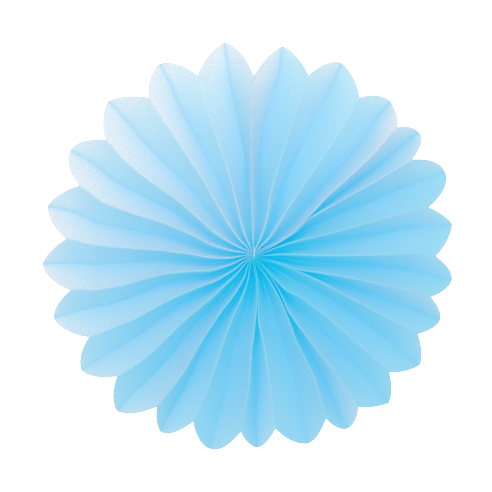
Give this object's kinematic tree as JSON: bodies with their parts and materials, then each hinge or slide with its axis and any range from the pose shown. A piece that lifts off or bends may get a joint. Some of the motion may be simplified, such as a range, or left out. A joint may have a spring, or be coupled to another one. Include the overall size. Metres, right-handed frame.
{
  "type": "paper fan rosette",
  "caption": "Flower-like rosette of light-blue pleated tissue paper, fanned to a full circle with pointed, scalloped petals and a gathered middle.",
  "frame": {"origin": "middle of the gathered hub's flat back, on the plane that all the back folds lie in", "axes": "+Z out of the front, along the hub axis; +Y towards the top of the rosette, where the strip's two ends meet"},
  "size_m": [0.4006, 0.3979, 0.0338],
  "materials": {
    "tissue_paper": "matt, translucent light-blue tissue paper"
  },
  "bodies": {
    "root": {"pleated_paper": "tissue_paper"}
  },
  "joints": []
}
